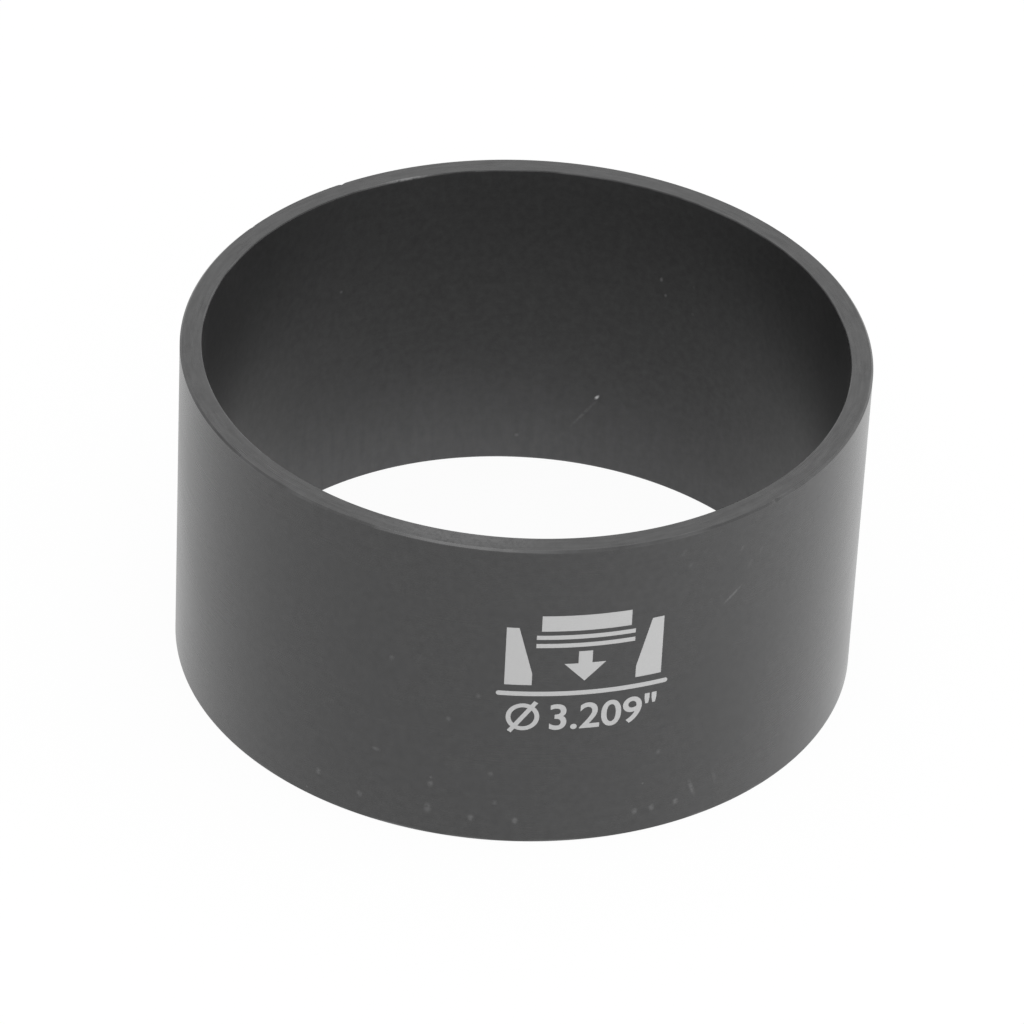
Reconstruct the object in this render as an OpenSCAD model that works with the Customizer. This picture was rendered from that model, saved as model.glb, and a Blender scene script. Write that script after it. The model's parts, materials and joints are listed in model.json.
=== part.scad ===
// Tapered piston ring compressor sleeve, turned from one piece of aluminium.
// It stands on the engine block's deck over an open cylinder. A piston with its rings goes in at the wide
// top end, the taper squeezes the rings to the cylinder's size, and they leave through the straight land
// at the bottom. Millimetres, +Z up along the bore, origin at the centre of the bottom face.

/* [Bore] */
// Diameter of the straight land, which is the cylinder bore that the sleeve serves
bore_d = 81.5; // [40:0.5:140]
// Height of the corner where the taper's line meets the land's, before the two are blended
land_h = 5; // [2:0.5:20]
// Radial gain of the taper from the land up to the top rim
taper_gain = 1.7; // [0.5:0.1:3]
// Radius that blends the taper into the land
blend_r = 60; // [10:5:150]
// Radius of the lead-in at the top of the bore
entry_r = 0.2; // [0.1:0.05:1.5]

/* [Body] */
// Height from the bottom face to the top rim
body_h = 46.6; // [20:0.2:100]
// Wall thickness at the land
wall = 4.6; // [3:0.1:10]

/* [Edges] */
// Chamfer on the two outer edges
outer_chamfer = 0.25; // [0.1:0.05:1]
// Chamfer at the bottom edge of the bore
exit_chamfer = 0.2; // [0.1:0.05:1]

/* [Hidden] */
$fn = 180;

bore_r = bore_d / 2;
outer_r = bore_r + wall;
entry_bore_r = bore_r + taper_gain;

// Lean of the tapered wall from the bore's axis
taper_angle = atan(taper_gain / (body_h - land_h));

// The blend touches the land and the taper, so its centre lies in the wall's metal
blend_centre = [bore_r + blend_r, land_h - blend_r * tan(taper_angle / 2)];
blend_steps = 4;

// The lead-in touches the taper and the top face
entry_centre = [entry_bore_r + entry_r * tan((90 - taper_angle) / 2), body_h - entry_r];
entry_steps = 10;

// Points along an arc, with both of its ends, by angles from the radial direction
function arc(centre, r, from, to, steps) = [
    for (i = [0 : steps])
        let (angle = from + (to - from) * i / steps)
        centre + r * [cos(angle), sin(angle)]
];

// Half section on one side of the axis: the outside from the bottom up, then the bore from the top down
module section() {
    outside = [
        [bore_r + exit_chamfer, 0],
        [outer_r - outer_chamfer, 0],
        [outer_r, outer_chamfer],
        [outer_r, body_h - outer_chamfer],
        [outer_r - outer_chamfer, body_h]
    ];
    taper_side = 180 - taper_angle;
    lead_in = arc(entry_centre, entry_r, 90, taper_side, entry_steps);
    blend = arc(blend_centre, blend_r, taper_side, 180, blend_steps);
    polygon(concat(outside, lead_in, blend, [[bore_r, exit_chamfer]]));
}

// The whole tool: a plain outside, and a bore that narrows from the rim to the straight exit land
module sleeve() {
    color([0.13, 0.13, 0.135])
        rotate_extrude() section();
}

sleeve();
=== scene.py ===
"""Looks of a tapered piston ring compressor sleeve, turned from aluminium and black anodised.

Lengths in the classes are in millimetres and angles in degrees. An angle round the sleeve is counted
from -Y, the side with the size mark, towards +X.
"""

import json
import logging
import math
from collections.abc import Iterable, Sequence
from dataclasses import dataclass, field
from enum import Enum

import bmesh
import bpy
from mathutils import Matrix, Vector


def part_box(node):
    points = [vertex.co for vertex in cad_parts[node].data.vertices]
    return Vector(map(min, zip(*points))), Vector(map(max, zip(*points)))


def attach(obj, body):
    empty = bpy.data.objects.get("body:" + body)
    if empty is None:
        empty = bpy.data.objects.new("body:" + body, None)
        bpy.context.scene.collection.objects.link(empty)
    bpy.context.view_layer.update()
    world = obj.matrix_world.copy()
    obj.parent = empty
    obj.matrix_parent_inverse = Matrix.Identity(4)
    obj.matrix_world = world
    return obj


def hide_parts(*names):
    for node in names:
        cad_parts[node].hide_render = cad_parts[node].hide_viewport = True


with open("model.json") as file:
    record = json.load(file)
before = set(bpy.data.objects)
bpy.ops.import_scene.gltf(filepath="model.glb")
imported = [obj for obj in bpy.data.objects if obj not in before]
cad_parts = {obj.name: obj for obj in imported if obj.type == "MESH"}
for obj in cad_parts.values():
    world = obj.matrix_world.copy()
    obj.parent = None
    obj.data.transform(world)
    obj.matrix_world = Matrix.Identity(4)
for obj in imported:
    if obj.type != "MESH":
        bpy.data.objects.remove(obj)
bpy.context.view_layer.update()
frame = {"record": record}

MM = 0.001
INCH = 25.4
BODY = "root"
NODE = "sleeve"
WHITE = (1.0, 1.0, 1.0, 1.0)
# Mean of the noise and of the smooth steps, which run from 0 to 1
HALF = 0.5
# Slack for rounding
HAIR = 1e-6

Point = tuple[float, float]
Pair = tuple[float, float]
Colour = tuple[float, float, float]
Socket = bpy.types.NodeSocket

log = logging.getLogger("sleeve")


def mount(name: str) -> dict:
    """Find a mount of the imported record.

    Args:
        name: The mount's name.

    Returns:
        The mount's entry.
    """
    return next(entry for entry in frame["record"]["mounts"] if entry["name"] == name)


def direction(angle: float, elevation: float) -> Vector:
    """Unit vector from the sleeve's axis.

    Args:
        angle: Angle round the sleeve.
        elevation: Angle above the horizon.

    Returns:
        The vector in the part's frame.
    """
    turn, rise = math.radians(angle), math.radians(elevation)
    return Vector((math.sin(turn) * math.cos(rise), -math.cos(turn) * math.cos(rise), math.sin(rise)))


def arc(centre: Point, radius: float, start: float, end: float, steps: int) -> list[Point]:
    """Points along an arc, with both of its ends.

    Args:
        centre: The arc's centre.
        radius: The arc's radius.
        start: Angle of the first point, from the first axis.
        end: Angle of the last point.
        steps: Number of chords.

    Returns:
        The points in order.
    """
    angles = [math.radians(start + (end - start) * i / steps) for i in range(steps + 1)]
    return [(centre[0] + radius * math.cos(a), centre[1] + radius * math.sin(a)) for a in angles]


def between(start: Point, end: Point, share: float) -> Point:
    """Point on a straight stretch.

    Args:
        start: First end.
        end: Last end.
        share: 0 at the first end, 1 at the last.

    Returns:
        The point.
    """
    return (start[0] + (end[0] - start[0]) * share, start[1] + (end[1] - start[1]) * share)


def run(start: Point, end: Point, steps: int) -> list[Point]:
    """Points along a straight stretch, with both of its ends.

    Args:
        start: First point.
        end: Last point.
        steps: Number of equal lengths.

    Returns:
        The points in order.
    """
    return [between(start, end, i / steps) for i in range(steps + 1)]


def placed(name: str, data: bpy.types.ID) -> bpy.types.Object:
    """Make an object and link it to the scene.

    Args:
        name: The object's name.
        data: Its mesh, text, camera or lamp.

    Returns:
        The object.
    """
    made = bpy.data.objects.new(name, data)
    bpy.context.scene.collection.objects.link(made)
    return made


def fill(shape: bmesh.types.BMesh, loops: Iterable[Sequence[Point]]) -> None:
    """Add a flat face to a shape.

    Args:
        shape: The shape to add to.
        loops: The face's outline, and then its holes.
    """
    edges = []
    for loop in loops:
        verts = [shape.verts.new((x, y, 0.0)) for x, y in loop]
        edges += [shape.edges.new((a, b)) for a, b in zip(verts, verts[1:] + verts[:1])]
    bmesh.ops.triangle_fill(shape, edges=edges, use_beauty=True)


def finished_mesh(name: str, shape: bmesh.types.BMesh, crease: float) -> bpy.types.Mesh:
    """Turn a worked shape into a mesh with smooth faces and sharp edges.

    Args:
        name: The mesh's name.
        shape: The shape, which is used up.
        crease: Angle between faces from which an edge is sharp.

    Returns:
        The mesh.
    """
    bmesh.ops.recalc_face_normals(shape, faces=shape.faces)
    for face in shape.faces:
        face.smooth = True
    made = bpy.data.meshes.new(name)
    shape.to_mesh(made)
    shape.free()
    made.set_sharp_from_angle(angle=math.radians(crease))
    return made


class NodeBench:
    """Lays out the nodes of one shader tree."""

    # The Mix node's colour sockets, by number because other sockets of it have the same names
    MIX_FIRST = 6
    MIX_SECOND = 7
    MIX_RESULT = 2

    def __init__(self, tree: bpy.types.NodeTree) -> None:
        """Take a tree and empty it."""
        self.tree = tree
        self.tree.nodes.clear()

    @classmethod
    def material(cls, name: str) -> tuple[bpy.types.Material, "NodeBench"]:
        """Start a material.

        Args:
            name: The material's name.

        Returns:
            The material and the bench of its tree.
        """
        made = bpy.data.materials.new(name)
        made.use_nodes = True
        return made, cls(made.node_tree)

    def add(self, kind: str, inputs: dict | None = None, **settings: object) -> bpy.types.Node:
        """Add a node.

        Args:
            kind: The node's type in Blender.
            inputs: Socket name or number to a value or another node's output.
            settings: The node's own properties.

        Returns:
            The node.
        """
        node = self.tree.nodes.new(kind)
        for name, value in settings.items():
            setattr(node, name, value)
        for key, value in (inputs or {}).items():
            self.plug(node.inputs[key], value)
        return node

    def plug(self, socket: Socket, value: object) -> None:
        """Link an output to a socket, or set the socket's own value.

        Args:
            socket: The input.
            value: An output socket or a constant.
        """
        if isinstance(value, Socket):
            self.tree.links.new(value, socket)
        else:
            socket.default_value = value

    def math(self, operation: str, *values: object) -> Socket:
        """Arithmetic on one to three values.

        Args:
            operation: The Math node's operation.
            values: Outputs or constants.

        Returns:
            The result.
        """
        return self.add("ShaderNodeMath", dict(enumerate(values)), operation=operation).outputs[0]

    def scale(self, vector: object, factor: object) -> Socket:
        """Multiply a vector or colour by one number."""
        values = {0: vector, "Scale": factor}
        return self.add("ShaderNodeVectorMath", values, operation="SCALE").outputs[0]

    def combine(self, x: object, y: object, z: object) -> Socket:
        """Make a vector of three outputs or constants."""
        return self.add("ShaderNodeCombineXYZ", {0: x, 1: y, 2: z}).outputs[0]

    def split(self, vector: Socket) -> tuple[Socket, Socket, Socket]:
        """Take a vector apart into its three numbers."""
        return tuple(self.add("ShaderNodeSeparateXYZ", {0: vector}).outputs)

    def noise(self, vector: Socket, cell: float, detail: float = 2.0) -> Socket:
        """Grey noise around a half.

        Args:
            vector: Place to read.
            cell: Size of a patch, in the vector's units.
            detail: Finer layers on top.

        Returns:
            The noise's value.
        """
        values = {"Vector": vector, "Scale": 1.0 / cell, "Detail": detail}
        return self.add("ShaderNodeTexNoise", values).outputs[0]

    def fade(self, value: object, start: object, end: object) -> Socket:
        """Smooth step from 0 at start to 1 at end.

        Args:
            value: What is tested.
            start: Value that gives 0.
            end: Value that gives 1.

        Returns:
            The step's value.
        """
        values = {"Value": value, "From Min": start, "From Max": end}
        return self.add("ShaderNodeMapRange", values, interpolation_type="SMOOTHSTEP").outputs[0]

    def weigh(self, base: float, *terms: tuple[Socket, float]) -> Socket:
        """Add weighted outputs to a number.

        Args:
            base: The number.
            terms: Outputs, each with its weight.

        Returns:
            The sum.
        """
        total: object = base
        for value, weight in terms:
            total = self.math("MULTIPLY_ADD", value, weight, total)
        return total

    def around(self, mean: float, value: Socket, spread: float) -> Socket:
        """Spread noise or a step about a mean.

        Args:
            mean: Result where the value is a half.
            value: A value from 0 to 1.
            spread: Gain on the value.

        Returns:
            The result.
        """
        return self.weigh(mean - HALF * spread, (value, spread))

    def most(self, masks: Iterable[Socket]) -> Socket:
        """Highest of several masks.

        Args:
            masks: The masks, at least one.

        Returns:
            The highest value.
        """
        rest = iter(masks)
        top = next(rest)
        for mask in rest:
            top = self.math("MAXIMUM", top, mask)
        return top

    def blend(self, share: object, first: object, second: object) -> Socket:
        """Mix two colours.

        Args:
            share: 0 for the first colour, 1 for the second.
            first: A colour or output.
            second: A colour or output.

        Returns:
            The mixed colour.
        """
        values = {"Factor": share, self.MIX_FIRST: first, self.MIX_SECOND: second}
        return self.add("ShaderNodeMix", values, data_type="RGBA").outputs[self.MIX_RESULT]

    def seen(self, direct: float, mirrored: float) -> Socket:
        """Share for rays that look at a surface, and not for those that carry light from it.

        Args:
            direct: Share for the camera's own rays.
            mirrored: Share for rays that come by way of a gloss or glass.

        Returns:
            The share.
        """
        path = self.add("ShaderNodeLightPath").outputs
        shares = {"Is Camera Ray": direct, "Is Glossy Ray": mirrored, "Is Transmission Ray": mirrored}
        return self.most(self.math("MULTIPLY", path[kind], share) for kind, share in shares.items())


@dataclass(frozen=True)
class Place:
    """Where a shaded point lies on the sleeve, as outputs in millimetres."""

    at: Socket
    height: Socket
    radius: Socket
    unrolled: Socket

    @classmethod
    def on(cls, bench: NodeBench) -> "Place":
        """Work the place out from the piece's own coordinates.

        Args:
            bench: The tree's bench.

        Returns:
            The place, with the wall unrolled as arc length, height and radius.
        """
        at = bench.scale(bench.add("ShaderNodeTexCoord").outputs["Object"], 1.0 / MM)
        x, y, height = bench.split(at)
        radius = bench.math("SQRT", bench.math("MULTIPLY_ADD", y, y, bench.math("MULTIPLY", x, x)))
        turn = bench.math("ARCTAN2", x, bench.math("MULTIPLY", y, -1.0))
        unrolled = bench.combine(bench.math("MULTIPLY", turn, radius), height, radius)
        return cls(at, height, radius, unrolled)


class Edge(Enum):
    """An edge of the sleeve, as the signs of radius and height in the sum that peaks on it."""

    OUTER_TOP = (1.0, 1.0)
    OUTER_BOTTOM = (1.0, -1.0)
    BORE_TOP = (-1.0, 1.0)
    BORE_BOTTOM = (-1.0, -1.0)


@dataclass(frozen=True)
class EdgeWear:
    """How far in from an edge the dye is rubbed, and how bare it gets."""

    edge: Edge
    width: float
    bare: float


@dataclass(frozen=True)
class Blemish:
    """An oval place where the dye is rubbed, chipped or scratched, or a painted highlight drawn the
    same way, with its half lengths.
    """

    angle: float
    height: float
    radius: float
    along: float
    upright: float
    bare: float
    lean: float = 0.0
    depth: float = 0.6


class Speck(Enum):
    """A kind of small mark, as its half length, half width, lean and how bare it is."""

    CLEAR = (0.55, 0.75, 0.0, 0.115)
    FAINT = (0.50, 0.60, 0.0, 0.065)
    SCUFF = (0.80, 0.40, 55.0, 0.035)


@dataclass(frozen=True)
class Nick:
    """A small dent in the outer top edge."""

    angle: float
    half_width: float
    depth: float


class Layer(Enum):
    """A layer of the anodised finish and of the light and shade painted into it, from which its shader
    values are mixed.
    """

    GRAIN = "fine grain all over"
    MOTTLE = "mottle of about a millimetre"
    PATCHES = "wide clouds in the dye"
    LINES = "turning lines on the walls"
    # The bore's shares darken its dye and sheen as painted shade, and roughen it.
    BORE = "the whole bore"
    # Painted shade: lowers the sheen towards the top of the bore.
    SHADED_ENTRY = "upper part of the bore"
    # Real upright streaks, with painted light that makes the foot of the bore paler, most on one side.
    STREAKS_AND_LIT_FOOT = "rubbed foot of the bore"
    RIM = "the top rim's flat"
    CIRCLES = "circles on the rim"


@dataclass(frozen=True)
class Recipe:
    """A shader value, as a base and the shares of the layers that are added to it."""

    base: float
    shares: tuple[tuple[Layer, float], ...]

    def mix(self, bench: NodeBench, layers: dict[Layer, Socket]) -> Socket:
        """Add the layers' shares to the base.

        Args:
            bench: The tree's bench.
            layers: The output of each layer.

        Returns:
            The value.
        """
        return bench.weigh(self.base, *((layers[layer], share) for layer, share in self.shares))


@dataclass(frozen=True)
class BlackAnodise:
    """Satin black anodised aluminium with fine turning lines, pinholes and rubbed edges, with painted
    shade in the bore, painted light at the bore's foot and painted highlights on the rim.
    """

    dye: Colour = (0.016, 0.016, 0.0164)
    bare: Colour = (0.50, 0.50, 0.505)
    bare_metal: float = 0.7
    ior: float = 1.62
    shade: Recipe = Recipe(
        0.76,
        (
            (Layer.GRAIN, 0.16),
            (Layer.PATCHES, 0.20),
            (Layer.LINES, 0.12),
            # Painted shade: darker dye all over the bore.
            (Layer.BORE, -0.55),
            # Painted light: paler dye at the foot of the bore, broken into real upright streaks.
            (Layer.STREAKS_AND_LIT_FOOT, 5.2),
        ),
    )
    roughness: Recipe = Recipe(0.19, ((Layer.PATCHES, 0.10), (Layer.LINES, 0.06), (Layer.BORE, 0.18)))
    sheen: Recipe = Recipe(
        0.395,
        (
            (Layer.GRAIN, 0.04),
            (Layer.MOTTLE, 0.18),
            (Layer.LINES, 0.02),
            # Painted shade: less sheen in the bore, and less again towards its top.
            (Layer.BORE, -0.14),
            (Layer.SHADED_ENTRY, -0.06),
            (Layer.RIM, 0.08),
            (Layer.CIRCLES, 0.5),
        ),
    )
    relief: Recipe = Recipe(0.0, ((Layer.LINES, 0.5), (Layer.GRAIN, 0.5)))
    relief_h: float = 0.004
    relief_strength: float = 0.08
    # Size of a patch of each noise, and length and width of a lathe line
    patch: float = 14.0
    mottle: float = 1.0
    grain: float = 0.2
    turning: Pair = (30.0, 0.22)
    facing: Pair = (4.0, 0.42)
    rim_depth: float = 0.02
    # Heights where the painted shade at the bore's entry starts and is at its darkest
    painted_shade_entry: Pair = (22.0, 44.0)
    # Rubbed streaks, and the heights and side of the painted light that makes the bore's foot paler
    streak: float = 1.1
    streak_stretch: float = 4.0
    streak_mean: float = 0.5
    streak_depth: float = 0.26
    rubbed: Pair = (30.0, -4.0)
    painted_light_side: float = -150.0
    painted_light_lean: float = 0.5
    rubbed_and_lit_power: float = 2.0
    # Outlines of the blemishes and of the painted highlights, torn by noise between two levels
    ragged: float = 0.45
    tears: Pair = (0.2, 0.6)
    mark_core: float = 0.1
    # Pinholes, with the heights between which they get stronger
    pinhole_gap: float = 6.0
    pinhole_r: float = 0.34
    pinhole_least: float = 0.3
    pinhole_core: float = 0.4
    pinhole_bare: float = 0.10
    pinhole_high: float = 0.3
    pinhole_band: Pair = (16.0, 5.0)
    # Rubbed edges, broken up by noise between two levels
    rub_run: float = 7.0
    rub_breaks: Pair = (0.42, 0.72)
    edges: tuple[EdgeWear, ...] = (
        EdgeWear(Edge.OUTER_TOP, width=0.22, bare=0.06),
        EdgeWear(Edge.OUTER_BOTTOM, width=0.35, bare=0.16),
        EdgeWear(Edge.BORE_TOP, width=0.18, bare=0.10),
        EdgeWear(Edge.BORE_BOTTOM, width=0.25, bare=0.14),
    )

    def material(self, sleeve: "Sleeve") -> bpy.types.Material:
        """Make the shader.

        Args:
            sleeve: The sleeve that it covers.

        Returns:
            The material.
        """
        made, bench = NodeBench.material("black_anodise")
        place = Place.on(bench)
        layers = self.layers(bench, place, sleeve)
        wear_and_highlights = self.wear_and_highlights(bench, place, sleeve)
        dye_with_painted_light_and_shade = bench.scale(self.dye, self.shade.mix(bench, layers))
        relief = {
            "Strength": self.relief_strength,
            "Distance": self.relief_h * MM,
            "Height": self.relief.mix(bench, layers),
        }
        surface = {
            # Bare metal where worn, and two painted highlights on the rim drawn as bare metal
            "Base Color": bench.blend(wear_and_highlights, dye_with_painted_light_and_shade, (*self.bare, 1.0)),
            "Roughness": self.roughness.mix(bench, layers),
            "IOR": self.ior,
            "Specular IOR Level": self.sheen.mix(bench, layers),
            "Metallic": bench.math("MULTIPLY", wear_and_highlights, self.bare_metal),
            "Normal": bench.add("ShaderNodeBump", relief).outputs[0],
        }
        shader = bench.add("ShaderNodeBsdfPrincipled", surface)
        bench.add("ShaderNodeOutputMaterial", {"Surface": shader.outputs[0]})
        return made

    def layers(self, bench: NodeBench, place: Place, sleeve: "Sleeve") -> dict[Layer, Socket]:
        """Lay out the layers of the finish.

        Args:
            bench: The tree's bench.
            place: The shaded point.
            sleeve: The sleeve that it covers.

        Returns:
            The output of each layer.
        """
        bore = bench.math("LESS_THAN", place.radius, sleeve.bore_limit())
        rim = bench.math("GREATER_THAN", place.height, sleeve.height - self.rim_depth)
        circles = bench.around(0.0, self.lathe_lines(bench, place, self.facing), 1.0)
        return {
            Layer.GRAIN: bench.noise(place.at, self.grain, detail=1.0),
            Layer.MOTTLE: bench.noise(place.at, self.mottle),
            Layer.PATCHES: bench.noise(place.at, self.patch),
            Layer.LINES: self.lathe_lines(bench, place, self.turning),
            Layer.BORE: bore,
            Layer.SHADED_ENTRY: bench.math("MULTIPLY", bench.fade(place.height, *self.painted_shade_entry), bore),
            Layer.STREAKS_AND_LIT_FOOT: bench.math("MULTIPLY", self.streaks(bench, place, sleeve), bore),
            Layer.RIM: rim,
            Layer.CIRCLES: bench.math("MULTIPLY", circles, rim),
        }

    def lathe_lines(self, bench: NodeBench, place: Place, size: Pair) -> Socket:
        """Fine lines that a lathe leaves round the walls and in circles on the rim.

        Args:
            bench: The tree's bench.
            place: The shaded point.
            size: Length and width of a line.

        Returns:
            Noise that is long round the axis and short across it.
        """
        x, y, height = bench.split(place.at)
        across = bench.math("ADD", place.radius, height)
        length, width = size
        spans = ((x, length), (y, length), (across, width))
        stretched = bench.combine(*(bench.math("DIVIDE", value, span) for value, span in spans))
        return bench.noise(stretched, cell=1.0, detail=3.0)

    def streaks(self, bench: NodeBench, place: Place, sleeve: "Sleeve") -> Socket:
        """Upright rubbed streaks at the foot of the bore, and painted light that makes the foot paler,
        most towards one side.

        Args:
            bench: The tree's bench.
            place: The shaded point.
            sleeve: The sleeve that it covers.

        Returns:
            0 above the pale stretch, up to about 1 at its foot on the side with the most painted light.
        """
        x, y, height = bench.split(place.at)
        upright = bench.combine(x, y, bench.math("DIVIDE", height, self.streak_stretch))
        uneven = bench.around(self.streak_mean, bench.noise(upright, self.streak), self.streak_depth)
        low = bench.fade(height, *self.rubbed)
        # Painted light: the pale foot leans towards one side.
        towards = direction(self.painted_light_side, 0.0) * (self.painted_light_lean / sleeve.bore_r)
        painted_light_bearing = bench.weigh(1.0, (x, towards.x), (y, towards.y))
        rubbed = bench.math("POWER", bench.math("MULTIPLY", low, painted_light_bearing), self.rubbed_and_lit_power)
        return bench.math("MULTIPLY", uneven, rubbed)

    def wear_and_highlights(self, bench: NodeBench, place: Place, sleeve: "Sleeve") -> Socket:
        """Places where bare metal shows through the dye, and two painted highlights on the rim drawn as
        bare metal.

        Args:
            bench: The tree's bench.
            place: The shaded point.
            sleeve: The sleeve that it covers, with its blemishes.

        Returns:
            0 on sound dye, up to 1 on bare metal and on the painted highlights.
        """
        marks = bench.most(self.mark(bench, place, blemish) for blemish in sleeve.blemishes())
        torn = bench.fade(bench.noise(place.at, self.ragged), *self.tears)
        edges = self.rubbed_edges(bench, place, sleeve)
        return bench.most([self.pinholes(bench, place), edges, bench.math("MULTIPLY", marks, torn)])

    def pinholes(self, bench: NodeBench, place: Place) -> Socket:
        """Scattered specks, which get stronger towards the foot, where the tool is set down.

        Args:
            bench: The tree's bench.
            place: The shaded point.

        Returns:
            The mask.
        """
        scatter = {"Vector": place.at, "Scale": 1.0 / self.pinhole_gap}
        cells = bench.add("ShaderNodeTexVoronoi", scatter).outputs
        lot = bench.split(cells["Color"])[0]
        least = self.pinhole_least * self.pinhole_r
        reach = bench.weigh(least, (lot, self.pinhole_r - least))
        away = bench.math("MULTIPLY", cells["Distance"], self.pinhole_gap)
        spot = bench.fade(bench.math("DIVIDE", away, reach), 1.0, self.pinhole_core)
        low = bench.fade(place.height, *self.pinhole_band)
        strong = bench.weigh(self.pinhole_high, (low, 1.0 - self.pinhole_high))
        return bench.math("MULTIPLY", spot, bench.math("MULTIPLY", strong, self.pinhole_bare))

    def rubbed_edges(self, bench: NodeBench, place: Place, sleeve: "Sleeve") -> Socket:
        """Stretches of the edges where the dye is thin.

        Args:
            bench: The tree's bench.
            place: The shaded point.
            sleeve: The sleeve that it covers.

        Returns:
            The mask.
        """
        lines = []
        for worn in self.edges:
            out, up = worn.edge.value
            reach = bench.weigh(0.0, (place.radius, out), (place.height, up))
            peak = sleeve.reach(worn.edge)
            lines.append(bench.math("MULTIPLY", bench.fade(reach, peak - worn.width, peak), worn.bare))
        uneven = bench.fade(bench.noise(place.at, self.rub_run), *self.rub_breaks)
        return bench.math("MULTIPLY", bench.most(lines), uneven)

    def mark(self, bench: NodeBench, place: Place, blemish: Blemish) -> Socket:
        """Mask of one blemish.

        Args:
            bench: The tree's bench.
            place: The shaded point.
            blemish: The blemish.

        Returns:
            The mask.
        """
        spot = bench.add("ShaderNodeMapping", {"Vector": place.unrolled}, vector_type="TEXTURE")
        arc_length = math.radians(blemish.angle) * blemish.radius
        spot.inputs["Location"].default_value = (arc_length, blemish.height, blemish.radius)
        spot.inputs["Rotation"].default_value = (0.0, 0.0, math.radians(blemish.lean))
        spot.inputs["Scale"].default_value = (blemish.along, blemish.upright, blemish.depth)
        length = bench.add("ShaderNodeVectorMath", {0: spot.outputs[0]}, operation="LENGTH")
        inside = bench.fade(length.outputs["Value"], 1.0, self.mark_core)
        return bench.math("MULTIPLY", inside, blemish.bare)


@dataclass(frozen=True)
class LaserGrey:
    """Dye bleached to a pale grey by a marking laser."""

    colour: Colour = (0.375, 0.375, 0.375)
    colour_spread: float = 0.3
    roughness: float = 0.62
    roughness_spread: float = 0.2
    hatch: float = 0.07

    def material(self) -> bpy.types.Material:
        """Make the shader.

        Returns:
            The material.
        """
        made, bench = NodeBench.material("laser_grey")
        place = Place.on(bench)
        speckle = bench.noise(place.at, self.hatch, detail=1.0)
        level = bench.around(1.0, speckle, self.colour_spread)
        surface = {
            "Base Color": bench.scale(self.colour, level),
            "Roughness": bench.around(self.roughness, speckle, self.roughness_spread),
        }
        shader = bench.add("ShaderNodeBsdfPrincipled", surface)
        bench.add("ShaderNodeOutputMaterial", {"Surface": shader.outputs[0]})
        return made


@dataclass(frozen=True)
class StudioWhite:
    """Matte white floor that shows as white and keeps a faint shadow.

    What mirrors it sees it a little brighter towards +X than towards -X.
    """

    colour: Colour = (0.93, 0.93, 0.93)
    shown: float = 0.95
    mirrored: float = 1.0
    tilt: float = 0.2
    tilt_reach: float = 0.1

    def material(self) -> bpy.types.Material:
        """Make the shader.

        Returns:
            The material.
        """
        made, bench = NodeBench.material("studio_white")
        matte = bench.add("ShaderNodeBsdfDiffuse", {"Color": (*self.colour, 1.0)})
        across = bench.split(bench.add("ShaderNodeTexCoord").outputs["Object"])[0]
        lift = bench.around(0.0, bench.fade(across, -self.tilt_reach, self.tilt_reach), self.tilt)
        level = bench.math("MULTIPLY_ADD", lift, bench.seen(direct=0.0, mirrored=1.0), 1.0)
        glow = bench.add("ShaderNodeEmission", {"Color": WHITE, "Strength": level})
        share = bench.seen(self.shown, self.mirrored)
        mixed = bench.add("ShaderNodeMixShader", {0: share, 1: matte.outputs[0], 2: glow.outputs[0]})
        bench.add("ShaderNodeOutputMaterial", {"Surface": mixed.outputs[0]})
        return made


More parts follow.
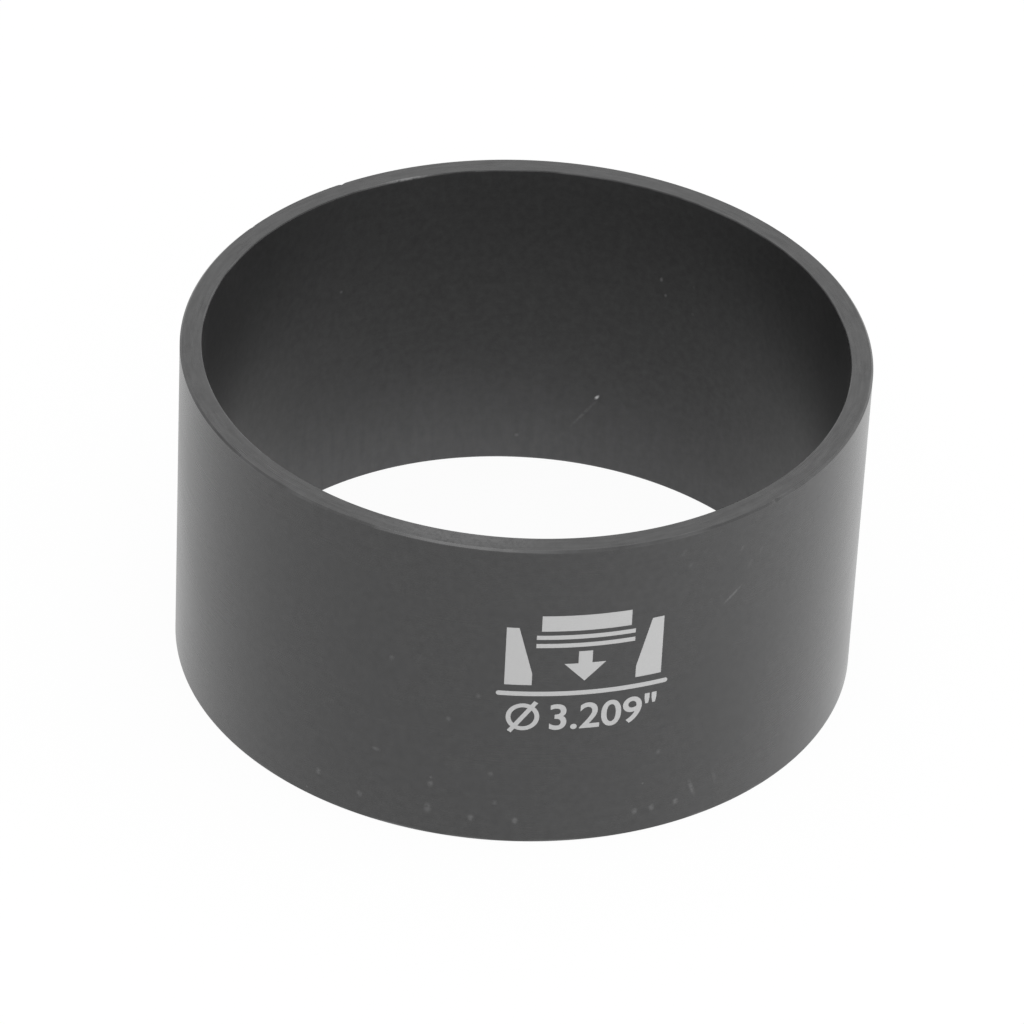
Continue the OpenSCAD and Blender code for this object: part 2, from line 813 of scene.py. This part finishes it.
@dataclass
class Sleeve:
    """The one turned piece: plain outside, flat rim, and a bore that tapers down to a straight land."""

    outer_r: float
    height: float
    bore_r: float
    land_h: float = 5.0
    taper_gain: float = 1.7
    blend_r: float = 60.0
    entry_r: float = 0.2
    outer_chamfer: float = 0.25
    exit_chamfer: float = 0.2
    # Steps of the section's stretches, and flats that keep the shading crisp beside the lead-in
    lead_in_steps: int = 10
    blend_steps: int = 6
    face_steps: int = 4
    wall_steps: int = 12
    land_steps: int = 3
    support: float = 0.06
    segments: int = 960
    crease: float = 25.0
    nicks: tuple[Nick, ...] = (
        Nick(-156.6, half_width=0.35, depth=0.22),
        Nick(-136.1, half_width=0.3, depth=0.18),
        Nick(34.0, half_width=0.5, depth=0.12),
    )
    finish: BlackAnodise = field(default_factory=BlackAnodise)

    @classmethod
    def from_frame(cls) -> "Sleeve":
        """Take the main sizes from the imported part."""
        low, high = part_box(NODE)
        outer_r = max(high.x, high.y, -low.x, -low.y) / MM
        return cls(outer_r=outer_r, height=high.z / MM, bore_r=mount("piston_bore")["dims"]["r_mm"])

    def bore_at(self, height: float) -> float:
        """Radius of the bore at a height, without the blend and the lead-in."""
        taper_h = self.height - self.land_h
        return self.bore_r + self.taper_gain * max(0.0, height - self.land_h) / taper_h

    def bore_limit(self) -> float:
        """Radius between the widest bore and the rim's flat."""
        return self.bore_at(self.height) + self.entry_r / 2

    def profile(self) -> list[Point]:
        """Closed half section, as radius and height.

        Returns:
            The points, from the bottom face outside up and down the bore.
        """
        lean = math.degrees(math.atan2(self.taper_gain, self.height - self.land_h))
        side = 180.0 - lean
        blend_z = self.land_h - self.blend_r * math.tan(math.radians(lean / 2))
        entry = (
            self.bore_r + self.taper_gain + self.entry_r * math.tan(math.radians((90.0 - lean) / 2)),
            self.height - self.entry_r,
        )
        blend_centre = (self.bore_r + self.blend_r, blend_z)
        lead_in = arc(entry, self.entry_r, 90.0, side, self.lead_in_steps)
        blend = arc(blend_centre, self.blend_r, side, 180.0, self.blend_steps)
        foot = self.outer_r - self.outer_chamfer
        wall_top = self.height - self.outer_chamfer
        base = run((self.bore_r + self.exit_chamfer, 0.0), (foot, 0.0), self.face_steps)
        wall = run((self.outer_r, self.outer_chamfer), (self.outer_r, wall_top), self.wall_steps)
        rim = run((foot, self.height), (lead_in[0][0] + self.support, self.height), self.face_steps)
        taper = run((lead_in[-1][0], lead_in[-1][1] - self.support), blend[0], self.wall_steps)
        land = run(blend[-1], (self.bore_r, self.exit_chamfer), self.land_steps)
        return base + wall + rim + lead_in + taper[:-1] + blend[:-1] + land

    def reach(self, edge: Edge) -> float:
        """How far the section goes towards an edge, as the sum that the edge names."""
        out, up = edge.value
        return max(out * r + up * z for r, z in self.profile())

    def nicked(self, point: Point, angle: float) -> Point:
        """Pull a point of the outer top edge in where a nick is.

        Args:
            point: A point of the section.
            angle: Angle round the sleeve.

        Returns:
            The point, moved if it lies on that edge.
        """
        r, z = point
        share = 1.0 - (self.height - z) / self.outer_chamfer
        if share < -HAIR or r < self.outer_r - self.outer_chamfer - HAIR:
            return point
        depth = sum(n.depth * math.exp(-(((angle - n.angle) / n.half_width) ** 2)) for n in self.nicks)
        return (r - depth * share, z - depth * (1.0 - share))

    def outside(self, angle: float, height: float, *lengths: float, **looks: float) -> Blemish:
        """Blemish of the outer wall.

        Args:
            angle: Angle round the sleeve.
            height: Height of its middle.
            lengths: Half length and half width.
            looks: Its lean and how bare it is.

        Returns:
            The blemish.
        """
        return Blemish(angle, height, self.outer_r, *lengths, **looks)

    def in_bore(self, angle: float, height: float, *lengths: float, **looks: float) -> Blemish:
        """Blemish of the bore's wall.

        Args:
            angle: Angle round the sleeve.
            height: Height of its middle.
            lengths: Half length and half width.
            looks: Its lean and how bare it is.

        Returns:
            The blemish.
        """
        return Blemish(angle, height, self.bore_at(height), *lengths, **looks)

    def specks(self, kind: Speck, places: Iterable[Point]) -> list[Blemish]:
        """Small marks of one kind on the outer wall.

        Args:
            kind: The kind.
            places: Angle and height of each mark.

        Returns:
            The marks.
        """
        along, upright, lean, bare = kind.value
        return [self.outside(a, h, along, upright, lean=lean, bare=bare) for a, h in places]

    def blemishes(self) -> list[Blemish]:
        """Specks and scratches where the photograph shows them, and two painted highlights on the rim.

        Returns:
            The places, on the outside and in the bore.
        """
        low_row = [(a, 3.6) for a in (-36.4, -17.3, -10.1, 9.9, 12.9, 17.3)]
        above = [(-44.3, 4.6), (-24.2, 8.2)]
        high = [(-31.6, 26.9), (-21.7, 19.1), (-17.0, 23.4), (-14.4, 11.0), (-13.5, 6.4), (13.5, 12.6)]
        under_rim = [(15.7, 43.9), (17.2, 41.6), (27.1, 41.5), (29.1, 38.5), (31.2, 39.8)]
        small = [
            *self.specks(Speck.CLEAR, low_row + above),
            *self.specks(Speck.FAINT, high),
            *self.specks(Speck.SCUFF, under_rim),
        ]
        rubs_and_highlights = [
            self.outside(-24.5, 4.2, 0.7, 1.3, bare=0.09),
            self.outside(-33.8, 11.7, 0.9, 0.4, lean=-8.0, bare=0.08),
            # Painted highlight on the rim's flat at the front left, drawn as a rub
            Blemish(-22.0, self.height, self.outer_r - 2.0, 17.0, 0.2, bare=0.08, depth=4.0),
            # Painted highlight along the bore's top edge at the back left, drawn as a rub
            Blemish(-167.7, self.height, self.bore_limit(), 5.5, 0.4, bare=0.30, depth=0.35),
        ]
        scratches = [
            self.outside(20.2, 5.1, 2.2, 0.45, lean=-70.0, bare=0.09),
            self.outside(24.6, 5.6, 1.8, 0.4, lean=-75.0, bare=0.04),
            self.outside(25.8, 34.6, 2.4, 0.32, lean=34.0, bare=0.10),
        ]
        bore = [
            self.in_bore(156.2, 8.6, 4.0, 0.36, lean=-59.0, bare=0.09),
            self.in_bore(153.8, 11.6, 0.62, 0.34, lean=-59.0, bare=1.0),
            self.in_bore(169.1, 3.9, 0.45, 0.45, bare=0.14),
            self.in_bore(142.7, 33.0, 0.35, 0.5, bare=0.14),
            self.in_bore(141.6, 30.7, 0.3, 0.4, bare=0.12),
            self.in_bore(-154.3, 31.5, 0.35, 0.35, bare=0.12),
        ]
        return small + rubs_and_highlights + scratches + bore

    def mesh(self) -> bpy.types.Mesh:
        """Turn the half section round the axis.

        Returns:
            The closed mesh, in metres.
        """
        section = self.profile()
        body = bmesh.new()
        rings = []
        for step in range(self.segments):
            angle = 360.0 * step / self.segments - 180.0
            turn = math.radians(angle)
            points = [self.nicked(point, angle) for point in section]
            spread = (math.sin(turn) * MM, -math.cos(turn) * MM)
            rings.append([body.verts.new((r * spread[0], r * spread[1], z * MM)) for r, z in points])
        count = len(section)
        for step in range(self.segments):
            here, there = rings[step], rings[(step + 1) % self.segments]
            for i in range(count):
                j = (i + 1) % count
                body.faces.new((here[i], there[i], there[j], here[j]))
        return finished_mesh("turned_sleeve", body, self.crease)

    def dress(self, piece: bpy.types.Object) -> None:
        """Give the piece its finish."""
        piece.data.materials.append(self.finish.material(self))

    def build(self) -> bpy.types.Object:
        """Make the piece, dress it and put it in the frame.

        Returns:
            The piece.
        """
        piece = placed("turned_sleeve", self.mesh())
        self.dress(piece)
        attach(piece, BODY)
        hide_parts(NODE)
        return piece


@dataclass
class SizeMark:
    """Laser mark on the outside: a piston going in, a rule, and the bore's size in inches."""

    face_r: float
    bore_r: float
    middle: float = 26.4
    picture_w: float = 20.5
    picture_foot: float = -0.8
    wall_h: float = 9.0
    wall_top: float = 1.6
    wall_foot: float = 3.5
    land: float = 1.8
    piston_w: float = 11.6
    crown: Pair = (8.5, 10.9)
    rings_w: float = 12.8
    rings: tuple[Pair, ...] = ((7.2, 7.85), (5.9, 6.55))
    shaft_w: float = 1.8
    shaft: Pair = (3.3, 5.2)
    arrow_w: float = 5.4
    arrow_tip: float = 0.5
    rule_w: float = 22.5
    rule_h: float = 0.7
    rule_middle: float = -2.2
    figure_h: float = 4.3
    figure_middle: float = -5.9
    stroke_gain: float = 0.015
    sign_d: float = 4.3
    sign_stroke: float = 0.62
    sign_tail: float = 0.75
    sign_lean: float = 55.0
    sign_gap: float = 1.3
    # Steps of the rule's round ends and of the sign's half rings, outside and inside
    end_steps: int = 10
    ring_steps: tuple[int, int] = (28, 24)
    # Width of the strips that bend round the sleeve, and how close points are merged
    strip: float = 0.48
    merge: float = 0.005
    proud: float = 0.01
    sunk: float = 0.03
    crease: float = 30.0
    finish: LaserGrey = field(default_factory=LaserGrey)

    def picture(self) -> list[list[Point]]:
        """Outlines of a sleeve's two cut walls, a piston with its rings, an arrow and the rule.

        Returns:
            The outlines, from the mark's middle.
        """
        foot = self.picture_foot
        edge = self.picture_w / 2
        right = [
            (edge - self.wall_foot, foot),
            (edge, foot),
            (edge, foot + self.wall_h),
            (edge - self.wall_top, foot + self.wall_h),
            (edge - self.wall_foot, foot + self.land),
        ]
        left = [(-x, y) for x, y in reversed(right)]
        bars = [(self.piston_w, self.crown), *((self.rings_w, ring) for ring in self.rings)]
        boxes = [self.bar(width, foot + low, foot + high) for width, (low, high) in bars]
        return [right, left, *boxes, self.arrow(), self.rule()]

    def bar(self, width: float, low: float, high: float) -> list[Point]:
        """Rectangle on the mark's middle line."""
        return [(-width / 2, low), (width / 2, low), (width / 2, high), (-width / 2, high)]

    def arrow(self) -> list[Point]:
        """Arrow that points down between the walls."""
        tip, shoulder, top = (self.picture_foot + y for y in (self.arrow_tip, *self.shaft))
        head, stem = self.arrow_w / 2, self.shaft_w / 2
        right = [(0.0, tip), (head, shoulder), (stem, shoulder), (stem, top)]
        return right + [(-x, y) for x, y in reversed(right[1:])]

    def rule(self) -> list[Point]:
        """Line with round ends under the picture."""
        end, radius = self.rule_w / 2 - self.rule_h / 2, self.rule_h / 2
        right = arc((end, self.rule_middle), radius, -90.0, 90.0, self.end_steps)
        return right + arc((-end, self.rule_middle), radius, 90.0, 270.0, self.end_steps)

    def sign(self, across: float) -> list[list[Point]]:
        """Diameter sign: a ring with a slash through it.

        Args:
            across: Where its middle lies along the line of figures.

        Returns:
            Its outline and its two holes.
        """
        centre = (across, self.figure_middle)
        half, outer = self.sign_stroke / 2, self.sign_d / 2
        inner = outer - self.sign_stroke
        tab, cut = (math.degrees(math.asin(half / radius)) for radius in (outer, inner))
        end = math.hypot(outer + self.sign_tail, half)
        flare = math.degrees(math.atan2(half, outer + self.sign_tail))
        outer_steps, inner_steps = self.ring_steps
        outline, holes = [], []
        for side in (self.sign_lean, self.sign_lean + 180.0):
            outline += arc(centre, end, side - flare, side + flare, 1)
            outline += arc(centre, outer, side + tab, side + 180.0 - tab, outer_steps)
            holes.append(arc(centre, inner, side + cut, side + 180.0 - cut, inner_steps))
        return [outline, *holes]

    def figures(self) -> bpy.types.Mesh:
        """Flat figures of the bore's diameter in inches.

        Returns:
            The figures, in the units of the text.
        """
        line = bpy.data.curves.new("figures", "FONT")
        line.body = f"{2 * self.bore_r / INCH:.3f}\""
        line.offset = self.stroke_gain
        holder = placed("figures", line)
        bpy.context.view_layer.update()
        graph = bpy.context.evaluated_depsgraph_get()
        flat = bpy.data.meshes.new_from_object(holder.evaluated_get(graph))
        bpy.data.objects.remove(holder)
        bpy.data.curves.remove(line)
        return flat

    def flat(self) -> bmesh.types.BMesh:
        """Lay out the whole mark before it is rolled, cut in narrow upright strips.

        Returns:
            The flat shape, in millimetres from the mark's middle.
        """
        shape = bmesh.new()
        shape.from_mesh(self.figures())
        low, high = ([pick(v.co[i] for v in shape.verts) for i in range(2)] for pick in (min, max))
        size = self.figure_h / (high[1] - low[1])
        lead = self.sign_d + self.sign_gap
        start = (lead - (high[0] - low[0]) * size) / 2
        for vert in shape.verts:
            up = (vert.co.y - (low[1] + high[1]) / 2) * size
            vert.co = (start + (vert.co.x - low[0]) * size, self.figure_middle + up, 0.0)
        fill(shape, self.sign(start - lead + self.sign_d / 2))
        for outline in self.picture():
            fill(shape, [outline])
        self.cut(shape)
        return shape

    def cut(self, shape: bmesh.types.BMesh) -> None:
        """Cut a flat shape in upright strips, and drop the slivers that the cuts fold over.

        Args:
            shape: The shape to cut.
        """
        bmesh.ops.remove_doubles(shape, verts=shape.verts, dist=self.merge)
        across = Vector((1.0, 0.0, 0.0))
        count = round(self.rule_w / 2 / self.strip)
        for step in range(-count, count + 1):
            every = [*shape.verts, *shape.edges, *shape.faces]
            at = across * (step * self.strip)
            bmesh.ops.bisect_plane(shape, geom=every, dist=self.merge, plane_co=at, plane_no=across)
        bmesh.ops.triangulate(shape, faces=shape.faces)
        bmesh.ops.remove_doubles(shape, verts=shape.verts, dist=self.merge)
        folds = {
            min(edge.link_faces, key=lambda face: face.calc_area())
            for edge in shape.edges
            if len(edge.link_faces) > 2
        }
        bmesh.ops.delete(shape, geom=list(folds), context="FACES")

    def rolled(self, at: Vector, radius: float) -> Vector:
        """Place a flat point on the sleeve's outside.

        Args:
            at: The flat point.
            radius: Distance from the axis.

        Returns:
            The point in metres.
        """
        turn = at.x / self.face_r
        return Vector((math.sin(turn) * radius, -math.cos(turn) * radius, self.middle + at.y)) * MM

    def mesh(self) -> bpy.types.Mesh:
        """Roll the flat mark round the sleeve and close it to a thin skin.

        Returns:
            The closed mesh, in metres.
        """
        flat = self.flat()
        skin = bmesh.new()
        radii = (self.face_r + self.proud, self.face_r - self.sunk)
        outer, inner = ({v: skin.verts.new(self.rolled(v.co, r)) for v in flat.verts} for r in radii)
        for face in flat.faces:
            skin.faces.new([outer[v] for v in face.verts])
            skin.faces.new([inner[v] for v in reversed(face.verts)])
        for edge in flat.edges:
            if edge.is_boundary:
                a, b = edge.verts
                skin.faces.new((outer[a], outer[b], inner[b], inner[a]))
        flat.free()
        return finished_mesh("size_mark", skin, self.crease)

    def dress(self, piece: bpy.types.Object) -> None:
        """Give the piece its finish."""
        piece.data.materials.append(self.finish.material())

    def build(self) -> bpy.types.Object:
        """Make the piece, dress it and put it in the frame.

        Returns:
            The piece.
        """
        piece = placed("size_mark", self.mesh())
        self.dress(piece)
        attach(piece, BODY)
        return piece


@dataclass
class PhotoCamera:
    """The camera at the photograph's viewing angle."""

    angle: float = -12.0
    elevation: float = 35.7325
    roll: float = 2.9175
    lens: float = 235.51
    sensor: float = 36.0
    distance: float = 902.84
    aim_right: float = -0.033
    aim_up: float = 16.208
    near: float = 10.0
    far: float = 20000.0

    def build(self) -> bpy.types.Object:
        """Make the camera and give it to the scene.

        Returns:
            The camera.
        """
        back = direction(self.angle, self.elevation)
        level = direction(self.angle + 90.0, 0.0)
        turn = Matrix.Rotation(math.radians(self.roll), 3, back)
        right = turn @ level
        up = back.cross(right)
        axes = Matrix((right, up, back)).transposed().to_4x4()
        eye = (right * self.aim_right + up * self.aim_up + back * self.distance) * MM
        data = bpy.data.cameras.new("camera")
        data.lens = self.lens
        data.sensor_width = self.sensor
        data.clip_start = self.near * MM
        data.clip_end = self.far * MM
        camera = placed("camera", data)
        camera.matrix_world = Matrix.Translation(eye) @ axes
        bpy.context.scene.camera = camera
        return camera


@dataclass(frozen=True)
class Softbox:
    """A soft lamp that looks at the sleeve."""

    name: str
    angle: float
    elevation: float
    wide: float
    tall: float
    radiance: float
    distance: float = 1200.0

    def build(self, target: Vector) -> None:
        """Hang the lamp.

        Args:
            target: The point that it looks at, in metres.
        """
        data = bpy.data.lights.new(self.name, "AREA")
        data.shape = "RECTANGLE"
        data.size, data.size_y = self.wide * MM, self.tall * MM
        data.energy = self.radiance * math.pi * data.size * data.size_y
        lamp = placed(self.name, data)
        away = direction(self.angle, self.elevation)
        lamp.location = target + away * self.distance * MM
        lamp.rotation_mode = "QUATERNION"
        lamp.rotation_quaternion = (-away).to_track_quat("-Z", "Y")
        lamp.visible_camera = False


@dataclass
class Studio:
    """White floor in a pale tent, with soft lamps."""

    floor_side: float = 6000.0
    all_round: float = 0.74
    # Sides from which the world is brighter, by angle and gain, and how far each spreads
    sides: tuple[Pair, ...] = ((85.0, 0.34), (168.0, 0.30))
    side_spread: Pair = (-0.2, 1.0)
    finish: StudioWhite = field(default_factory=StudioWhite)
    lamps: tuple[Softbox, ...] = (
        Softbox("key", angle=-35.0, elevation=52.0, wide=640.0, tall=480.0, radiance=2.3),
        Softbox("front", angle=5.0, elevation=32.0, wide=900.0, tall=320.0, radiance=3.0),
        Softbox("right", angle=66.0, elevation=14.0, wide=1400.0, tall=400.0, radiance=2.9),
        Softbox("left", angle=-76.0, elevation=36.0, wide=800.0, tall=340.0, radiance=0.8),
    )

    def floor(self) -> bpy.types.Object:
        """Lay the floor.

        Returns:
            The floor.
        """
        half = self.floor_side / 2 * MM
        sheet = bpy.data.meshes.new("floor")
        corners = [(-half, -half, 0.0), (half, -half, 0.0), (half, half, 0.0), (-half, half, 0.0)]
        sheet.from_pydata(corners, [], [(0, 1, 2, 3)])
        sheet.materials.append(self.finish.material())
        floor = placed("floor", sheet)
        return floor

    def surroundings(self) -> None:
        """Light the world all round, and more from some sides."""
        world = bpy.data.worlds.new("surround")
        world.use_nodes = True
        bench = NodeBench(world.node_tree)
        x, y, _ = bench.split(bench.add("ShaderNodeTexCoord").outputs["Generated"])
        level: object = self.all_round
        for angle, gain in self.sides:
            ahead = direction(angle, 0.0)
            facing = bench.weigh(0.0, (x, ahead.x), (y, ahead.y))
            level = bench.math("MULTIPLY_ADD", bench.fade(facing, *self.side_spread), gain, level)
        shine = bench.add("ShaderNodeBackground", {"Color": WHITE, "Strength": level})
        bench.add("ShaderNodeOutputWorld", {"Surface": shine.outputs[0]})
        bpy.context.scene.world = world

    def build(self, target: Vector) -> None:
        """Make the floor, the world and the lamps.

        Args:
            target: The point that the lamps look at, in metres.
        """
        self.floor()
        self.surroundings()
        for lamp in self.lamps:
            lamp.build(target)


def main() -> None:
    """Build the camera, the sleeve, its mark and the studio."""
    logging.basicConfig(level=logging.INFO, format="%(name)s: %(message)s")
    bpy.context.scene.view_settings.view_transform = "Standard"
    PhotoCamera().build()
    sleeve = Sleeve.from_frame()
    for part in (sleeve, SizeMark(face_r=sleeve.outer_r, bore_r=sleeve.bore_r)):
        piece = part.build()
        log.info("%s with %d faces rides on %s", piece.name, len(piece.data.polygons), BODY)
    Studio().build(Vector((0.0, 0.0, sleeve.height / 2 * MM)))
    log.info("floor and lamps in place")


if __name__ == "__main__":
    main()
